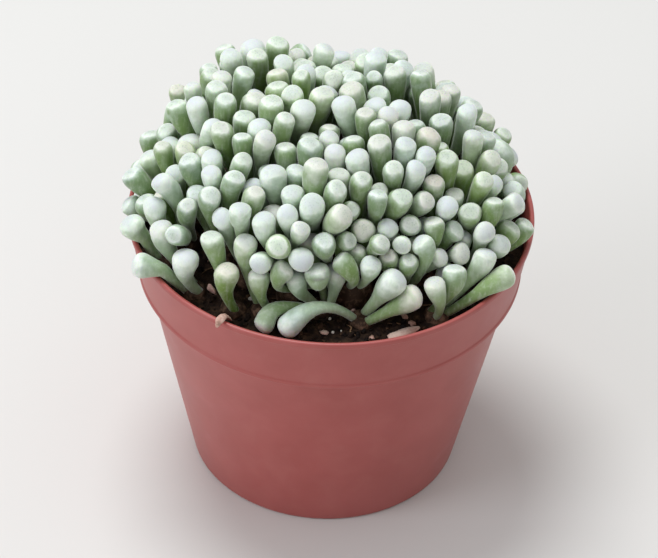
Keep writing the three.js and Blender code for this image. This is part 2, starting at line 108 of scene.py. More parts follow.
# Heads that show at the front: each crown's place, then each leaf's tip, tip radius and how far it arches
FRONT_HEADS = (
    ((9.5, -41.5), (
        ((-12.5, -48, -2.6), 3.4, 7),
        ((18.8, -40.5, 10.7), 3.9, 0),
        ((24.2, -43, 4.8), 3.7, 0),
    )),
    ((31.5, -38.5), (
        ((50.3, -32.5, 3), 3.6, 1),
        ((36, -37.5, 8.6), 3.6, 0),
        ((30.2, -41.5, 4.6), 3.2, 0),
        ((44, -29.5, 10), 3.4, 0),
    )),
    ((-2, -37.5), (
        ((2, -39, 9.5), 3.3, 0),
        ((-9, -39, 10), 3.3, 0),
        ((-5.8, -33, 17), 3.3, 0),
        ((-18, -48, -3.4), 3.1, 3),
    )),
    ((-16.5, -38), (
        ((-24, -36, 18.5), 3.3, 0),
        ((-18, -39.5, 8.2), 3.2, 0),
    )),
    ((-27.5, -39), (
        ((-29.6, -40.5, 8.6), 3.7, 0),
        ((-33, -34, 17), 3.4, 0),
    )),
    ((-39, -31.5), (
        ((-41.5, -35, 8.2), 4.0, 0),
        ((-54, -32, 3.6), 3.7, 1),
        ((-48, -25, 11), 3.6, 0),
    )),
    ((-48, -17), (
        ((-57.5, -17, 5.5), 3.9, 0),
        ((-50.5, -18, 15), 3.4, 0),
    )),
)

# Settling: leaves, each a chain of balls, push each other clear while their tips stay on the mound.
# CLUB gives places along a leaf with the ball's radius there, as a share of the tip's. Near pairs are listed
# anew every few rounds, and from SLACK_FROM of the rounds the pulls weaken to SLACK, so that leaves end clear
CLUB = ((0, 0.34), (0.3, 0.44), (0.6, 0.61), (0.85, 0.92), (1, 1))
POINTS = 9
ROUNDS = 520
LIST_EVERY = 16
LIST_REACH = 5
LEAF_GAP = 0.6
SISTER_GAP = 0.3
RIM_GAP = 0.6
FUSED_POINTS = 1
PUSH = 0.42
STIFFNESS = 0.5
PULL = 0.25
SLACK_FROM = 0.75
SLACK = 0.08
LEAST_LENGTH = 13

# Shrivelled leaves on the soil and over the rim: path and half width
DRY_LEAVES = (
    (((-28, -45, 83.2), (-29.6, -49.2, 88.6), (-30.8, -52.6, 89.9), (-31.6, -54.6, 88.6)), 1.3),
    (((-33.2, -33, 82.9), (-33.6, -34.6, 85.5), (-34.4, -35.2, 88)), 1.4),
    (((17.5, -49.3, 82.35), (21.5, -47.8, 83), (26.5, -44.6, 82.55)), 1.7),
)


# Growth, the same as the frame's, so that each fine leaf lies where its solid is

def seeded_draws(seed):
    """A function that gives the next draw, the same in every run."""
    state = [seed]

    def draw():
        state[0] = state[0] * DRAW_FACTOR % DRAW_PRIME
        return state[0] / DRAW_PRIME
    return draw


def inner_band_radius(z):
    """The radius inside the rim band's wall."""
    share = (z - BAND_FOOT) / BAND_HEIGHT
    return BAND_FOOT_RADIUS + (RIM_RADIUS - BAND_FOOT_RADIUS) * share - WALL


SOIL_RADIUS = inner_band_radius(SOIL_TOP) - GAP


def soil_height(radius):
    return SOIL_TOP + SOIL_RISE * (1 - (radius / SOIL_RADIUS) ** 2)


def in_dent(dent, angle):
    """How deep in a dent of the mound an angle lies, from 0 to 1."""
    off = angle - dent["angle"]
    turned = np.arctan2(np.sin(off), np.cos(off))
    return np.exp(-((turned / dent["width"]) ** 2))


def mound_reach(angle):
    """The mound's level radius at an angle, with its lumps and dents."""
    waves = [MOUND_LUMP * np.sin(count * angle + start) for count, start in MOUND_LUMPS]
    dents = [dent["depth"] * in_dent(dent, angle) for dent in (BARE_FRONT, SIDE_DENT)]
    return MOUND_REACH * (1 + waves[0] + waves[1]) - dents[0] - dents[1]


def mound_foot(angle):
    return MOUND_FOOT + BARE_FRONT["lift"] * in_dent(BARE_FRONT, angle)


def mound_share(x, y, z):
    """How far out a place lies: 1 is on the mound's surface."""
    angle = np.arctan2(y, x)
    flat = np.hypot(x, y) / mound_reach(angle)
    foot = mound_foot(angle)
    high = np.maximum(z - foot, 0) / (MOUND_TOP - foot)
    return (flat ** MOUND_FULLNESS + high ** MOUND_FULLNESS) ** (1 / MOUND_FULLNESS)


def mound_point(slope, angle):
    """A point on the mound, from its top at slope 0 to its foot at a quarter turn."""
    flat = mound_reach(angle) * math.sin(slope) ** (2 / MOUND_FULLNESS)
    foot = mound_foot(angle)
    high = foot + (MOUND_TOP - foot) * math.cos(slope) ** (2 / MOUND_FULLNESS)
    return np.array((flat * math.cos(angle), flat * math.sin(angle), high))


def places_on_mound(count, draw, play):
    """Points on the mound in a spiral that gives each the same area."""
    quarter = math.pi / 2
    areas = [0.0]
    before = mound_point(0, 0)
    for i in range(1, MOUND_STEPS + 1):
        after = mound_point(i / MOUND_STEPS * quarter, 0)
        areas.append(areas[-1] + np.linalg.norm(after - before) * (before[0] + after[0]))
        before = after
    places = []
    step = 1
    for i in range(count):
        wanted = (i + 0.5) / count * areas[-1]
        while areas[step] < wanted:
            step += 1
        share = (wanted - areas[step - 1]) / (areas[step] - areas[step - 1])
        slope = (step - 1 + share) / MOUND_STEPS * quarter
        places.append(mound_point(slope, i * GOLDEN_TURN + play * (draw() - 0.5)))
    return places


def plan_front():
    plans = []
    for (x, y), tips in FRONT_HEADS:
        places = [np.array((a, b, POT_HEIGHT + c), float) for (a, b, c), radius, arch in tips]
        own = [(radius, arch) for place, radius, arch in tips]
        plans.append({"x": x, "y": y, "rise": 0, "own": own, "tips": places})
    return plans


def plan_mound(front, draw):
    """Shares the mound's tips out to the nearest heads, but for those where a front head has a tip."""
    taken = np.array([tip for plan in front for tip in plan["tips"]])
    middles = np.array(places_on_mound(HEADS, draw, HEAD_TURN_PLAY))
    shares = [[] for middle in middles]
    for tip in places_on_mound(LEAVES, draw, TIP_TURN_PLAY):
        if np.linalg.norm(taken - tip, axis=1).min() < TIP_ROOM:
            continue
        full = np.array([len(share) for share in shares])
        distances = np.linalg.norm(middles - tip, axis=1) + CROWDING * full
        shares[int(np.argmin(distances))].append(tip)
    plans = []
    for tips in filter(None, shares):
        x, y = CROWN_PULL / len(tips) * np.sum(tips, axis=0)[:2]
        rise = CROWN_RISE * max(1 - (x * x + y * y) / (MOUND_REACH * CROWN_PULL) ** 2, 0)
        plans.append({"x": x, "y": y, "rise": rise, "own": None, "tips": tips})
    return plans


def ring_radius(count):
    """The radius of the ring that so many leaves grow from."""
    in_ring, least = (count, SMALL_ROOT_RING) if count < CROWDED else (count - 1, ROOT_RING)
    return max(least, ROOT_STEP * in_ring / FULL_TURN)


def space_crowns(plans):
    """Pushes crowns apart where they crowd, and back inside the pot."""
    radii = [ring_radius(len(plan["tips"])) + ROOT_ROOM for plan in plans]
    for _ in range(CROWN_ROUNDS):
        for i, a in enumerate(plans):
            for j in range(i + 1, len(plans)):
                b = plans[j]
                distance = math.hypot(a["x"] - b["x"], a["y"] - b["y"])
                push = (radii[i] + radii[j] + CROWN_GAP) / distance - 1
                if push <= 0:
                    continue
                dx = push * (a["x"] - b["x"]) / 2
                dy = push * (a["y"] - b["y"]) / 2
                a["x"] += dx
                a["y"] += dy
                b["x"] -= dx
                b["y"] -= dy
        for plan, radius in zip(plans, radii):
            inward = min(1, (CROWN_REACH - radius) / math.hypot(plan["x"], plan["y"]))
            plan["x"] *= inward
            plan["y"] *= inward


def place_roots(crown, tips):
    """Where each leaf leaves the crown: round a ring in the order of the tips, with one of many inside."""
    flat = np.array(tips)[:, :2]
    away = flat - flat.mean(axis=0)
    distances = np.hypot(away[:, 0], away[:, 1])
    inner = -1 if len(tips) < CROWDED else int(np.argmin(distances))
    angles = np.arctan2(away[:, 1], away[:, 0])
    order = sorted((i for i in range(len(tips)) if i != inner), key=lambda i: angles[i])
    step = FULL_TURN / len(order)
    turns = np.array([angles[i] - place * step for place, i in enumerate(order)])
    start = math.atan2(np.sin(turns).sum(), np.cos(turns).sum())
    radius = ring_radius(len(tips))
    roots = np.array([crown - (0, 0, ROOT_SINK) for tip in tips])
    for place, i in enumerate(order):
        roots[i] += (radius * math.cos(start + place * step), radius * math.sin(start + place * step), 0)
    return roots


def sprout_head(plan, draw):
    x, y, tips, own = plan["x"], plan["y"], plan["tips"], plan["own"]
    crown = np.array((x, y, soil_height(math.hypot(x, y)) + CROWN_ABOVE_SOIL + plan["rise"]))
    roots = place_roots(crown, tips)
    head_play = HEAD_HEIGHT_PLAY * (2 * draw() - 1)
    leaves = []
    for i, tip in enumerate(tips):
        outward = np.array((tip[0], tip[1], 0)) / math.hypot(tip[0], tip[1])
        sideways = np.array((-outward[1], outward[0], 0))
        bow = outward * (BOW * draw())
        bow = bow + sideways * (BOW * (draw() - 0.5))
        radius = TIP_RADIUS[0] + (TIP_RADIUS[1] - TIP_RADIUS[0]) * (draw() + draw()) / 2
        low, high = LEAF_HEIGHT_PLAY
        play = head_play + low + (high - low) * math.sqrt(draw())
        if own:
            radius, arch = own[i]
            # On a parabola of this height each point lies so far above the middle of its neighbours
            bow[2] += 4 * arch / (POINTS - 1) ** 2
        share = np.arange(POINTS)[:, None] / (POINTS - 1)
        chain = roots[i] + (tip - roots[i]) * share
        leaves.append({"tip": tip, "bow": bow, "radius": radius, "play": play, "chain": chain,
                       "own": bool(own)})
    return {"crown": crown, "radius": ring_radius(len(tips)) + ROOT_ROOM, "leaves": leaves}


def sprout_heads(draw):
    front = plan_front()
    plans = plan_mound(front, draw) + front
    space_crowns(plans)
    return [sprout_head(plan, draw) for plan in plans]


def club_share(along):
    return np.interp(along, [a for a, share in CLUB], [share for a, share in CLUB])


def allowed_pairs(leaves_of_head, crown_heads):
    """Pairs of balls that must keep clear, and whether they are sisters, of one head. Left out are pairs of
    one leaf, and sisters at a root or with the crown, where they are fused."""
    leaf_count = len(leaves_of_head)
    leaf = np.concatenate([np.repeat(np.arange(leaf_count), POINTS), -1 - np.array(crown_heads)])
    head = np.concatenate([np.repeat(leaves_of_head, POINTS), crown_heads])
    a, b = np.triu_indices(len(leaf), 1)
    sisters = head[a] == head[b]
    at_root = np.minimum(a % POINTS, b % POINTS) < FUSED_POINTS
    apart = (leaf[a] != leaf[b]) & ~(sisters & ((leaf[b] < 0) | at_root))
    return a[apart], b[apart], sisters[apart]


def keep_length(chains):
    """Moves a tip out where its leaf would be too short."""
    away = chains[:, -1] - chains[:, 0]
    stretch = LEAST_LENGTH / np.linalg.norm(away, axis=1, keepdims=True)
    chains[:, -1] = np.where(stretch > 1, chains[:, 0] + away * stretch, chains[:, -1])


def keep_in_pot(chains, radii):
    """Lifts leaves off the soil and pushes them clear of the rim, over it or inside it."""
    x, y, z = chains[:, 1:, 0], chains[:, 1:, 1], chains[:, 1:, 2]
    radius = radii[:, 1:]
    flat = np.hypot(x, y)
    least = soil_height(np.minimum(flat, SOIL_RADIUS)) + radius + GAP
    z[:] = np.where((z < least) & (flat < RIM_RADIUS), least, z)
    ring = RIM_RADIUS - WALL / 2
    away = flat - ring
    above = z - (POT_HEIGHT - WALL / 2)
    need = radius + WALL / 2 + RIM_GAP
    distance = np.hypot(away, above)
    inside = (above < 0) & (away > -need)
    near = ~inside & (distance < need)
    scale = np.where(inside, (ring - need) / flat, 1)
    scale = np.where(near, (ring + away * need / distance) / flat, scale)
    x *= scale
    y *= scale
    z += np.where(near, above * (need / distance - 1), 0)


def tip_pulls(tips, wanted, own, own_tips):
    """How far each tip is from the mound's surface, or from its own place."""
    x, y, z = tips.T
    foot = mound_foot(np.arctan2(y, x))
    scale = wanted / mound_share(x, y, z) - 1
    up = np.where(z < foot, foot - z, scale * (z - foot))
    return np.where(own[:, None], own_tips - tips, np.stack([scale * x, scale * y, up], 1))


def settle(heads):
    """Pushes the leaves clear of each other round by round, while tips and smooth bends pull back."""
    leaves = [leaf for head in heads for leaf in head["leaves"]]
    leaves_of_head = np.repeat(np.arange(len(heads)), [len(head["leaves"]) for head in heads])
    chains = np.array([leaf["chain"] for leaf in leaves])
    radii = np.array([leaf["radius"] for leaf in leaves])[:, None] * club_share(
        np.arange(POINTS) / (POINTS - 1))
    bows = np.array([leaf["bow"] for leaf in leaves])[:, None]
    wanted = 1 + np.array([leaf["play"] for leaf in leaves]) / (MOUND_TOP - MOUND_FOOT)
    own = np.array([leaf["own"] for leaf in leaves])
    own_tips = np.array([leaf["tip"] for leaf in leaves])
    crowns, crown_radii, crown_heads = [], [], []
    for number, head in enumerate(heads):
        z = head["crown"][2] - ROOT_SINK
        while z > SOIL_TOP:
            crowns.append((head["crown"][0], head["crown"][1], z))
            crown_radii.append(head["radius"])
            crown_heads.append(number)
            z -= CROWN_BALL_STEP
    a, b, sisters = allowed_pairs(leaves_of_head, crown_heads)
    all_radii = np.concatenate([radii.ravel(), crown_radii])
    need = all_radii[a] + all_radii[b] + np.where(sisters, SISTER_GAP, LEAF_GAP)
    count = chains.size // 3
    for turn in range(ROUNDS):
        slack = 1 if turn < SLACK_FROM * ROUNDS else SLACK
        places = np.concatenate([chains.reshape(-1, 3), crowns])
        if turn % LIST_EVERY == 0:
            near = ((places[a] - places[b]) ** 2).sum(1) < (need + LIST_REACH) ** 2
            na, nb, n_need = a[near], b[near], need[near]
        between = places[na] - places[nb]
        distance = np.sqrt((between ** 2).sum(1))
        share = PUSH * np.maximum(n_need - distance, 0) / distance
        moves = np.empty_like(places)
        for axis in range(3):
            push = share * between[:, axis]
            moves[:, axis] = np.bincount(na, push, len(places)) - np.bincount(nb, push, len(places))
        chains[:, 1:] += moves[:count].reshape(chains.shape)[:, 1:]
        chains[:, -1] += slack * PULL * tip_pulls(chains[:, -1], wanted, own, own_tips)
        before = chains.copy()
        middles = (before[:, :-2] + before[:, 2:]) / 2 + bows
        chains[:, 1:-1] += slack * STIFFNESS * (middles - before[:, 1:-1])
        keep_length(chains)
        keep_in_pot(chains, radii)
    for leaf, chain in zip(leaves, chains):
        leaf["chain"] = chain


# Shared ways to make a surface

LOOKS_SEED = 7
# Bumps and wrinkles start at a random phase from 0 to this, in radians
PHASES = 6
# A curve counts as upright where its level reach is less than this share of its length
UPRIGHT = 0.15


def smoothstep(low, high, value):
    share = np.clip((value - low) / (high - low), 0, 1)
    return share * share * (3 - 2 * share)


def curve_points(points, places):
    """Points and directions on a smooth curve through evenly spaced points, at places from 0 to 1."""
    points = np.asarray(points, float)
    slopes = np.gradient(points, axis=0)
    spans = len(points) - 1
    at = np.asarray(places, float) * spans
    i = np.minimum(at.astype(int), spans - 1)
    t = (at - i)[:, None]
    a, b, slope_a, slope_b = points[i], points[i + 1], slopes[i], slopes[i + 1]
    path = (2 * t ** 3 - 3 * t ** 2 + 1) * a + (3 * t ** 2 - 2 * t ** 3) * b
    path += (t ** 3 - 2 * t ** 2 + t) * slope_a + (t ** 3 - t ** 2) * slope_b
    ahead = 6 * (t - t ** 2) * (b - a)
    ahead += (3 * t ** 2 - 4 * t + 1) * slope_a + (3 * t ** 2 - 2 * t) * slope_b
    return path, ahead / np.linalg.norm(ahead, axis=1, keepdims=True)


def side_directions(points, ahead):
    """Two directions across a curve at each of its places. The first is as level as it can be."""
    chord = np.subtract(points[-1], points[0])
    level = np.cross(chord, (0, 0, 1))
    if np.linalg.norm(level) < UPRIGHT * np.linalg.norm(chord):
        level = np.array((1.0, 0, 0))
    side = level - ahead * (ahead @ level)[:, None]
    side /= np.linalg.norm(side, axis=1, keepdims=True)
    return side, np.cross(ahead, side)


def full_turn(sides):
    """Evenly spaced angles round a ring."""
    return np.arange(sides) * FULL_TURN / sides


def level_ring(radius, z, sides, x=0, y=0):
    turn = full_turn(sides)
    return np.stack([x + radius * np.cos(turn), y + radius * np.sin(turn), np.full(sides, z)], 1)


def tube_faces(rings, sides):
    """Faces of a closed tube, whose vertices are its rings' and then the middle of each end."""
    faces = []
    low_end = rings * sides
    last = low_end - sides
    for i in range(sides):
        j = (i + 1) % sides
        for start in range(0, last, sides):
            faces.append((start + i, start + j, start + sides + j, start + sides + i))
        faces.append((low_end, j, i))
        faces.append((low_end + 1, last + i, last + j))
    return faces


class Surface:
    """Gathers the closed forms of one piece, with the values that its material reads."""

    def __init__(self):
        self.vertices = []
        self.faces = []
        self.values = {}
        self.count = 0

    def add(self, vertices, faces, **values):
        self.faces += [tuple(v + self.count for v in face) for face in faces]
        self.vertices.append(np.asarray(vertices, float))
        for key, value in values.items():
            self.values.setdefault(key, []).append(np.broadcast_to(value, len(vertices)))
        self.count += len(vertices)

    def add_tube(self, rings, low_end, high_end, **values):
        rings = np.asarray(rings)
        vertices = np.concatenate([rings.reshape(-1, 3), [low_end, high_end]])
        self.add(vertices, tube_faces(rings.shape[0], rings.shape[1]), **values)

    def piece(self, name):
        mesh = bpy.data.meshes.new(name)
        mesh.from_pydata((np.concatenate(self.vertices) * MM).tolist(), [], self.faces)
        for key, parts in self.values.items():
            numbers = np.concatenate(parts).astype(np.float32)
            mesh.attributes.new(key, "FLOAT", "POINT").data.foreach_set("value", numbers)
        mesh.shade_smooth()
        made = bpy.data.objects.new(name, mesh)
        bpy.context.scene.collection.objects.link(made)
        return made


def keep(piece, material, slot, *nodes):
    """Gives a finished piece its material, hangs it on the root body and hides the nodes it stands for. Its
    slot is not used.
    """
    piece.data.materials.clear()
    piece.data.materials.append(material)
    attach(piece, "root")
    if nodes:
        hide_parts(*nodes)


# Leaves

# Rings along a leaf as shares of its length, then over its tip as shares of a quarter turn
STALK_RINGS = (0, 0.07, 0.16, 0.27, 0.39, 0.5, 0.6, 0.69, 0.77, 0.84, 0.9, 0.95, 1)
CAP_RINGS = (0.14, 0.28, 0.42, 0.56, 0.7, 0.84)
LEAF_SIDES = 20
ROOT_END = 0.2

# Half width as a share of the tip's: at the root, what the taper adds, and what the club adds and where
ROOT_SHARE = 0.34
TAPER = 0.28
CLUB_SWELL = 0.38
CLUB_SPAN = (0.4, 0.98)

# Tip: its height as a share of its radius, how square it is, and how far and over what height it leans
CAP_HEIGHT = 0.86
CAP_SQUARENESS = 2.25
CAP_TILT = 0.14
TILT_HEIGHT = 0.6

# How far a leaf is from round and straight
OVAL = 0.045
LEAST_OVAL = 0.3
THREE_SIDED = 0.025
WAVINESS = 0.02
WAVES = (7, 12)

# Tones of a leaf: how yellow by its head and by itself, how tanned, and a front leaf's least bloom
HEAD_WARMTH = 0.65
HEAD_WARMTH_SPREAD = (1.3, 2.6)
LEAF_WARMTH = 0.45
LEAF_WARMTH_SPREAD = (1.2, 3)
MOST_TAN = 0.65
TAN_SPREAD = (0.5, 2.2)
FRONT_BLOOM = 0.45

# Front leaves with tones of their own, by the place of their tip: how yellow, bloomed and tanned
OWN_TONES = {(-29.6, -40.5, 8.6): (0.6, 0.3, 0.5), (-12.5, -48, -2.6): (0, 1, 0)}

# Crowns: bumps round them, and their upper outline as shares of the radius and depths under the top
CROWN_SIDES = 24
CROWN_SINK = 1.5
CROWN_BUMPS = ((5, 0.05), (9, 0.03))
CROWN_FOOT = 1.02
CROWN_MIDDLE = 1.05
CROWN_SHOULDER = ((0.98, 0.9), (0.85, 0.3), (0.55, 0))
CROWN_TONES = (0, 0.15)


def stalk_share(along):
    """Half width as a share of the tip's: a slim stalk that swells to a club."""
    return ROOT_SHARE + TAPER * along + CLUB_SWELL * smoothstep(*CLUB_SPAN, along)


def leaf_tones(leaf, warmth, draws):
    """How yellow, bloomed and tanned a leaf is."""
    tan = MOST_TAN * draws.beta(*TAN_SPREAD)
    yellow = np.clip(HEAD_WARMTH * warmth + LEAF_WARMTH * draws.beta(*LEAF_WARMTH_SPREAD), 0, 1)
    bloom = draws.uniform(FRONT_BLOOM if leaf["own"] else 0, 1)
    x, y, z = leaf["tip"]
    place = (round(x, 1), round(y, 1), round(z - POT_HEIGHT, 1))
    return OWN_TONES.get(place, (yellow, bloom, tan))


def add_leaf(surface, leaf, warmth, draws):
    """One leaf: rings along its stalk, then over its tip, squarer than a ball and leaning a little."""
    radius, chain = leaf["radius"], leaf["chain"]
    stalk = np.array(STALK_RINGS)
    cap = np.array(CAP_RINGS) * math.pi / 2
    shrink = np.cos(cap) ** (2 / CAP_SQUARENESS)
    along = np.concatenate([stalk, 2 - shrink])
    path, ahead = curve_points(chain, np.minimum(along, 1))
    rise = np.concatenate([0 * stalk, np.sin(cap) ** (2 / CAP_SQUARENESS) * CAP_HEIGHT * radius])
    share = np.concatenate([stalk_share(stalk), shrink])
    share *= 1 + WAVINESS * np.sin(draws.uniform(*WAVES) * along + draws.uniform(0, FULL_TURN))
    turn = full_turn(LEAF_SIDES)
    out = 1 + OVAL * draws.uniform(LEAST_OVAL, 1) * np.cos(2 * turn + draws.uniform(0, FULL_TURN))
    out = out + THREE_SIDED * np.cos(3 * turn + draws.uniform(0, FULL_TURN))
    x = radius * share[:, None] * (out * np.cos(turn))
    y = radius * share[:, None] * (out * np.sin(turn))
    tilt = draws.uniform(-CAP_TILT, CAP_TILT, 2)
    lean = smoothstep(0, TILT_HEIGHT, rise / radius)[:, None] * (tilt[0] * x + tilt[1] * y)
    side, back = side_directions(chain, ahead)
    rings = path[:, None] + side[:, None] * x[..., None] + back[:, None] * y[..., None]
    rings = rings + ahead[:, None] * (rise[:, None] + lean)[..., None]
    low_end = chain[0] - ahead[0] * ROOT_END
    high_end = chain[-1] + ahead[-1] * CAP_HEIGHT * radius
    yellow, bloom, tan = leaf_tones(leaf, warmth, draws)
    surface.add_tube(rings, low_end, high_end, along=np.append(np.repeat(along, LEAF_SIDES), (0, 2)),
                     yellow=yellow, bloom=bloom, tan=tan)


def add_crown(surface, head, draws):
    """The short stump that a head's leaves grow from, wrapped in what is left of older leaves."""
    (x, y, top), radius = head["crown"], head["radius"]
    low = soil_height(math.hypot(x, y)) - CROWN_SINK
    turn = full_turn(CROWN_SIDES)
    bumps = 1
    for count, height in CROWN_BUMPS:
        bumps = bumps + height * np.cos(count * turn + draws.uniform(0, PHASES))
    levels = [(CROWN_FOOT, low), (CROWN_MIDDLE, (low + top) / 2)]
    levels += [(share, top - depth) for share, depth in CROWN_SHOULDER]
    rings = [level_ring(radius * share * bumps, z, CROWN_SIDES, x, y) for share, z in levels]
    surface.add_tube(rings, (x, y, low), (x, y, top), tone=draws.uniform(*CROWN_TONES))


def leaf_heads(skin, old_skin):
    draws = np.random.default_rng(LOOKS_SEED)
    stumps = Surface()
    for number, head in enumerate(HEAD_PLANS, 1):
        surface = Surface()
        warmth = draws.beta(*HEAD_WARMTH_SPREAD)
        for leaf in head["leaves"]:
            add_leaf(surface, leaf, warmth, draws)
        add_crown(stumps, head, draws)
        keep(surface.piece(f"leaf_head_{number:02d}"), skin, "leaf_skin", f"head_{number:02d}")
    keep(stumps.piece("crown_stumps"), old_skin, "dry_leaf_skin")


# Pot

POT_SEGMENTS = 180
CORNER_STEPS = 5
# A corner's curve takes at most this share of the edge on each side of it
MOST_ROUNDING = 0.45
SHARP_ANGLE = 40
DRAIN_SEGMENTS = 28
CUT_ROOM = 1
RECESS_RADIUS = 33
BASE_RECESS = 0.7
LIP_HEIGHT = 1.7
LIP_STEP = 0.5
BEAD = 0.3
POT_OUTLINE = (
    # Radius, height and rounding, from the middle of the base round the rim to the middle of the floor
    (RECESS_RADIUS, BASE_RECESS, 0), (RECESS_RADIUS + 1, 0, 0.4), (FOOT_RADIUS, 0, 1.2),
    (SHOULDER_RADIUS, BAND_FOOT, 0.5), (BAND_FOOT_RADIUS + BEAD, BAND_FOOT, 0.5),
    (BAND_FOOT_RADIUS + BEAD, BAND_FOOT + 1.2, 0.5), (BAND_FOOT_RADIUS, BAND_FOOT + 1.6, 0.5),
    (RIM_RADIUS - LIP_STEP, POT_HEIGHT - LIP_HEIGHT - 0.3, 0.3), (RIM_RADIUS, POT_HEIGHT - LIP_HEIGHT, 0.3),
    (RIM_RADIUS, POT_HEIGHT, 0.7), (RIM_RADIUS - WALL, POT_HEIGHT, 0.7),
    (inner_band_radius(BAND_FOOT + WALL), BAND_FOOT + WALL, 0.6), (SHOULDER_RADIUS - WALL, BAND_FOOT, 0.6),
    (FOOT_RADIUS - WALL, FLOOR, 1), (1, FLOOR, 0),
)


def rounded(outline):
    """The outline with each corner cut by a small curve."""
    corners = [np.array(row[:2], float) for row in outline]
    made = [corners[0]]
    for before, corner, after, row in zip(corners, corners[1:], corners[2:], outline[1:]):
        back, on = before - corner, after - corner
        start = corner + back * min(row[2] / np.linalg.norm(back), MOST_ROUNDING)
        end = corner + on * min(row[2] / np.linalg.norm(on), MOST_ROUNDING)
        for t in np.linspace(0, 1, CORNER_STEPS):
            made.append((1 - t) ** 2 * start + 2 * t * (1 - t) * corner + t * t * end)
    return made + [corners[-1]]


def add_lathed(surface, outline, segments, x=0, y=0):
    rings = [level_ring(radius, z, segments, x, y) for radius, z in outline]
    surface.add_tube(rings, (x, y, outline[0][1]), (x, y, outline[-1][1]))


def cut_out(piece, cutter):
    """Cuts the cutter's solid out of the piece, and drops the cutter."""
    cut = piece.modifiers.new("cut", "BOOLEAN")
    cut.solver = "EXACT"
    cut.object = cutter
    seen = piece.evaluated_get(bpy.context.evaluated_depsgraph_get())
    mesh = bpy.data.meshes.new_from_object(seen)
    piece.modifiers.clear()
    piece.data = mesh
    bpy.data.objects.remove(cutter)


def nursery_pot(material):
    body, drains = Surface(), Surface()
    add_lathed(body, rounded(POT_OUTLINE), POT_SEGMENTS)
    hole = ((DRAIN_RADIUS, -CUT_ROOM), (DRAIN_RADIUS, FLOOR + CUT_ROOM))
    for i in range(DRAINS):
        angle = i / DRAINS * FULL_TURN
        x, y = DRAIN_RING_RADIUS * math.cos(angle), DRAIN_RING_RADIUS * math.sin(angle)
        add_lathed(drains, hole, DRAIN_SEGMENTS, x, y)
    pot = body.piece("nursery_pot")
    cut_out(pot, drains.piece("drain_cutter"))
    pot.data.shade_smooth()
    pot.data.set_sharp_from_angle(angle=math.radians(SHARP_ANGLE))
    keep(pot, material, "pot_plastic", "pot")


# Soil and what lies in it

SOIL_SEGMENTS = 240
SOIL_RINGS = 78
INNERMOST_RING = 0.8
SOIL_TONE = 0.4
WALL_ROOM = 0.12
SOIL_SIDE = SOIL_TOP - 1.6
SOIL_EDGE = inner_band_radius(SOIL_SIDE) - WALL_ROOM

# Lumps: size of the coarsest, then how much finer and how high each layer is. Along the wall they are
# calmer and lie lower
LUMP_SIZE = 6
LUMP_LAYERS = ((1, 0.75), (2.7, 0.45), (7, 0.25))
EDGE_BAND = 4
EDGE_DROP = 0.5
EDGE_CALM = 0.35

# Crumbs: small ones are the commonest. Each is a ball with lumps of its own, flattened, turned and partly
# sunk, and HALF_CRUMB is its half height as a share of its size
CRUMB_DETAIL = 2
CRUMB_SPREAD = (1.2, 3)
LEAST_FORM = (0.7, 0.5, 0.35)
MOST_FORM = (1, 0.9, 0.7)
CRUMB_LUMP = 1.2
CRUMB_SHIFT = 7.3
HALF_CRUMB = 0.35
SUNK = 0.3
FRONT_SPREAD = 0.6

# Places along leaves and down crowns that crumbs keep clear of
LEAF_STEPS = 25
CROWN_DEPTHS = (4, 1.5)

# Fibres: thin strands with tapered ends
FIBRES = 60
FIBRE_POINTS = 4
FIBRE_RING = (34, SOIL_RADIUS - 3)
FIBRE_LENGTH = (4, 11)
FIBRE_WANDER = 0.8
FIBRE_RISE = (0.1, 0.9)
FIBRE_RADIUS = (0.13, 0.24)
FIBRE_TONES = (0.5, 1)
FIBRE_WALL_ROOM = 0.6
STRAND_RINGS = 12
STRAND_SIDES = 6
STRAND_END = 0.35


def soil_surface(x, y):
    """The height of the soil with the lumps of a coarse peat mix, calmer along the wall."""
    place = Vector((x, y, 0)) / LUMP_SIZE
    lumps = sum(height * noise.noise(place * finer) for finer, height in LUMP_LAYERS)
    reach = math.hypot(x, y)
    inward = float(smoothstep(SOIL_EDGE, SOIL_EDGE - EDGE_BAND, reach))
    level = soil_height(min(reach, SOIL_RADIUS))
    return level + lumps * max(inward, EDGE_CALM) - EDGE_DROP * (1 - inward)


def soil_block(material):
    surface = Surface()
    below = ((FOOT_RADIUS - WALL - GAP, FLOOR + GAP), (SHOULDER_RADIUS - WALL - GAP, BAND_FOOT),
             (inner_band_radius(BAND_FOOT + WALL) - GAP, BAND_FOOT + WALL + GAP), (SOIL_EDGE, SOIL_SIDE))
    rings = [level_ring(radius, z, SOIL_SEGMENTS) for radius, z in below]
    for radius in np.linspace(SOIL_EDGE, INNERMOST_RING, SOIL_RINGS):
        ring = level_ring(radius, 0, SOIL_SEGMENTS)
        ring[:, 2] = [soil_surface(x, y) for x, y, z in ring]
        rings.append(ring)
    surface.add_tube(rings, (0, 0, FLOOR + GAP), (0, 0, soil_surface(0, 0)), tone=SOIL_TONE)
    keep(surface.piece("soil_block"), material, "peat_mix", "soil")


def ball(detail):
    made = bmesh.new()
    bmesh.ops.create_icosphere(made, subdivisions=detail, radius=1)
    vertices = np.array([v.co for v in made.verts])
    faces = [tuple(v.index for v in face.verts) for face in made.faces]
    made.free()
    return vertices, faces


def any_turn(draws):
    return np.linalg.qr(draws.normal(size=(3, 3)))[0]


def leaf_places():
    """Points along every leaf and crown with their half widths, for keeping crumbs out of them."""
    places, widths = [], []
    along = np.linspace(0, 1, LEAF_STEPS)
    for head in HEAD_PLANS:
        x, y, top = head["crown"]
        for depth in CROWN_DEPTHS:
            places.append([(x, y, top - depth)])
            widths.append([head["radius"]])
        for leaf in head["leaves"]:
            places.append(curve_points(leaf["chain"], along)[0])
            widths.append(leaf["radius"] * stalk_share(along))
    return np.concatenate(places), np.concatenate(widths)


